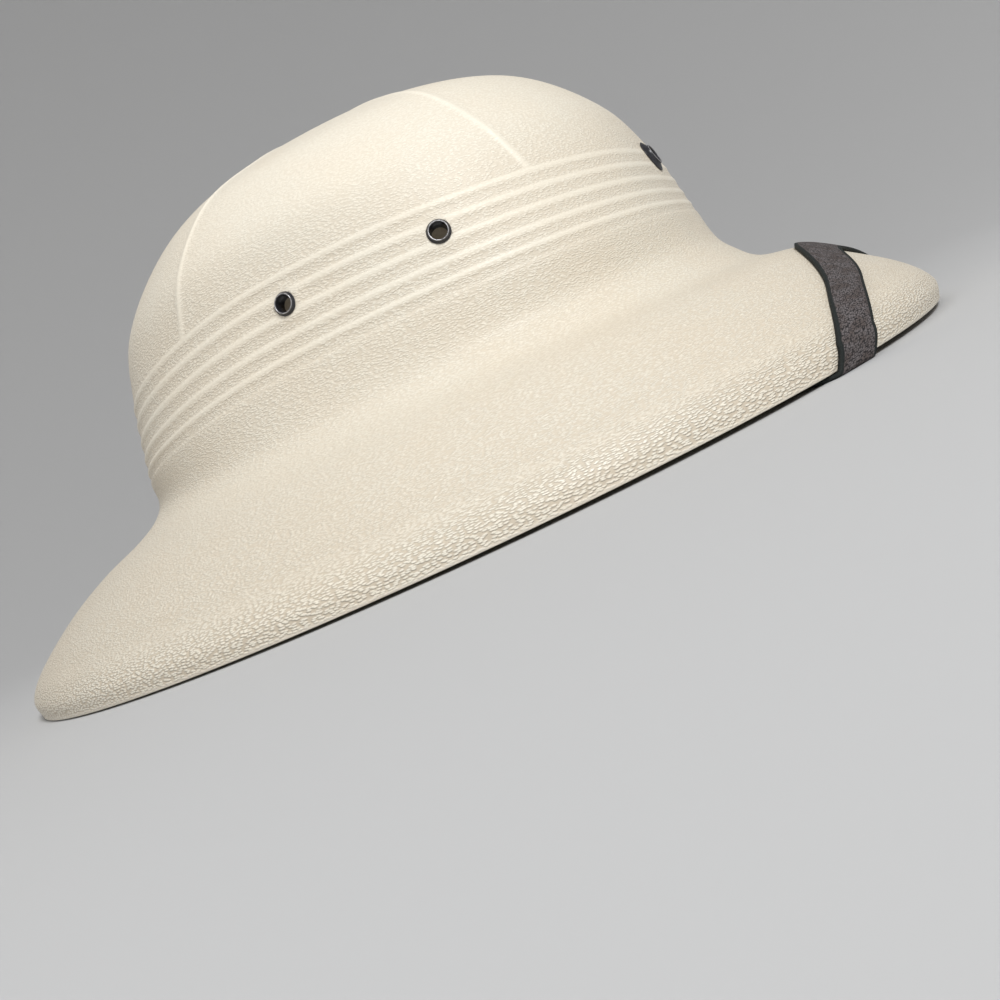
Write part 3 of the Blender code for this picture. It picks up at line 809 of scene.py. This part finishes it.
def build_strap():
    """The whole strap and its length. Its left half mirrors the right, and its UV map is in metres."""
    right = strap_rows()
    left = [[Vector((-point.x, point.y, point.z)) for point in row] for row in right[1:]]
    rows = left[::-1] + right
    lengths = [0]
    for before, after in zip(rows, rows[1:]):
        lengths.append(lengths[-1] + (after[LANES // 2] - before[LANES // 2]).length)
    bm = bmesh.new()
    grid = bmesh.ops.create_grid(bm, x_segments=LANES, y_segments=len(rows) - 1, size=1)["verts"]
    weave = bm.loops.layers.uv.new("weave")
    placed = {}
    for index, vert in enumerate(grid):
        row, lane = divmod(index, LANES + 1)
        vert.co = rows[row][lane]
        placed[vert] = ((lane / LANES - 0.5) * STRAP_WIDTH, lengths[row])
    for face in bm.faces:
        for loop in face.loops:
            loop[weave].uv = placed[loop.vert]
    bmesh.ops.recalc_face_normals(bm, faces=bm.faces)
    strap = mesh_object("elastic_strap", bm, (elastic_finish(),))
    thicken = strap.modifiers.new("thickness", "SOLIDIFY")
    thicken.thickness = STRAP_THICK
    thicken.offset = 0
    return strap, lengths[-1]


strap, strap_length = build_strap()
print(f"strap length {strap_length:.4f} m")
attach(strap, "root")
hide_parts("chin_strap")

# =============================================================================================
# The studs. Each is a plain button of black enamelled metal inside the crown. Its shank goes
# through the end of the strap and into the wall.
# =============================================================================================
STUD_HEAD_RADIUS = 4.5 * MM
STUD_HEAD_THICK = 1.4 * MM
STUD_SHANK_RADIUS = 1.6 * MM
SOCKET_DEPTH = 1.3 * MM
STUD_STEPS = 48


def stud_profile():
    """Half section of a stud, as (radius, height) into the crown from the outer skin."""
    floor = WALL - SOCKET_DEPTH
    head_from = WALL + INSIDE_GAP + STRAP_THICK + GAP
    head_to = head_from + STUD_HEAD_THICK
    edge = STUD_HEAD_THICK / 2
    profile = [(0, floor + GAP), (STUD_SHANK_RADIUS, floor + GAP), (STUD_SHANK_RADIUS, head_from)]
    profile += arc((STUD_HEAD_RADIUS - edge, head_from + edge), edge, -90, 70, 8)
    return profile + [(STUD_HEAD_RADIUS * 0.4, head_to), (0, head_to)]


for side, node in ((1, "strap_stud_right"), (-1, "strap_stud_left")):
    flip = Matrix.Scale(side, 4, (1, 0, 0))
    placement = flip @ stud_placement() @ flip
    stud = turned(node + "_button", stud_profile(), STUD_STEPS, placement, enamel, False)
    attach(stud, "root")
    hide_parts(node)

# =============================================================================================
# The studio. A pale paper floor sweeps up into a wall all round, and soft lamps stand over it. The
# camera looks from where the photograph was taken.
# =============================================================================================
FLOOR_RADIUS = 0.4
SWEEP_RADIUS = 1.5
WALL_HEIGHT = 2.2
FLOOR_STEPS = 96
PAPER = (0.5, 0.5, 0.5)


def build_floor():
    """The floor and its wall, as one sheet that faces up and inward."""
    profile = [(0, 0), (FLOOR_RADIUS, 0)]
    profile += arc((FLOOR_RADIUS, SWEEP_RADIUS), SWEEP_RADIUS, -90, 0, 40)[1:]
    profile.append((FLOOR_RADIUS + SWEEP_RADIUS, WALL_HEIGHT))
    bm = spun(profile, FLOOR_STEPS, False)
    bm.normal_update()
    if sum(face.normal.z * face.calc_area() for face in bm.faces) < 0:
        bmesh.ops.reverse_faces(bm, faces=bm.faces)
    paper, shader = new_finish("pale_paper", PAPER, 0.9)
    shader.inputs["Specular IOR Level"].default_value = 0.1
    # seen from below it is clear, so that the inside of the helmet can be looked at
    clear = add_node(paper, "ShaderNodeBsdfTransparent", {})
    back = add_node(paper, "ShaderNodeNewGeometry", {}).outputs["Backfacing"]
    mix = add_node(paper, "ShaderNodeMixShader", {0: back, 1: shader.outputs[0], 2: clear.outputs[0]})
    output = paper.node_tree.nodes["Material Output"]
    paper.node_tree.links.new(mix.outputs[0], output.inputs["Surface"])
    return mesh_object("floor", bm, (paper,))


build_floor()


def soft_light(name, place, target, size, power, color=(1, 1, 1)):
    """A square lamp that faces a point."""
    data = bpy.data.lights.new(name, "AREA")
    data.size = size
    data.energy = power
    data.color = color
    lamp = bpy.data.objects.new(name, data)
    bpy.context.scene.collection.objects.link(lamp)
    facing = Vector(target) - Vector(place)
    lamp.matrix_world = Matrix.Translation(place) @ facing.to_track_quat("-Z", "Y").to_matrix().to_4x4()
    return lamp


CROWN_MIDDLE = (0, 0, 0.08)
soft_light("key", (-0.93, -0.93, 1.25), CROWN_MIDDLE, 0.5, 25, (0.97, 0.985, 1))
soft_light("fill", (-1.5, 0.8, 0.9), CROWN_MIDDLE, 1.2, 8)
soft_light("top", (0.1, 0.3, 1.7), CROWN_MIDDLE, 1.0, 4)
# a dim lamp in the hollow, so that the inside can be made out from below
inside_lamp = soft_light("inside", (0, 0, 0.012), CROWN_MIDDLE, 0.12, 0.012)
inside_lamp.visible_camera = False

SKY_COLOR = (1.0, 0.97, 0.94, 1)
SKY_STRENGTH = 0.325
world = bpy.data.worlds.new("studio")
world.use_nodes = True
sky = world.node_tree.nodes["Background"]
sky.inputs["Color"].default_value = SKY_COLOR
sky.inputs["Strength"].default_value = SKY_STRENGTH
bpy.context.scene.world = world
bpy.context.scene.view_settings.view_transform = "Standard"

# The camera is low beside the helmet's right front, and tilted as it was for the photograph
CAMERA_PLACE = Vector((-0.3810, -0.1701, 0.0314))
CAMERA_YAW = math.radians(23.157)       # from +X toward +Y
CAMERA_PITCH = math.radians(-4.704)
CAMERA_ROLL = math.radians(-25.110)
CAMERA_FOCAL = 1163.2                   # in pixels of the 1000 pixel frame
FRAME_WIDTH = 1000

turn = (
    Matrix.Rotation(CAMERA_YAW - math.pi / 2, 4, "Z")
    @ Matrix.Rotation(math.pi / 2 + CAMERA_PITCH, 4, "X")
    @ Matrix.Rotation(CAMERA_ROLL, 4, "Z")
)
lens = bpy.data.cameras.new("camera")
lens.sensor_width = 36
lens.lens = CAMERA_FOCAL * lens.sensor_width / FRAME_WIDTH
lens.clip_start = 0.01
camera = bpy.data.objects.new("camera", lens)
camera.matrix_world = Matrix.Translation(CAMERA_PLACE) @ turn
bpy.context.scene.collection.objects.link(camera)
bpy.context.scene.camera = camera
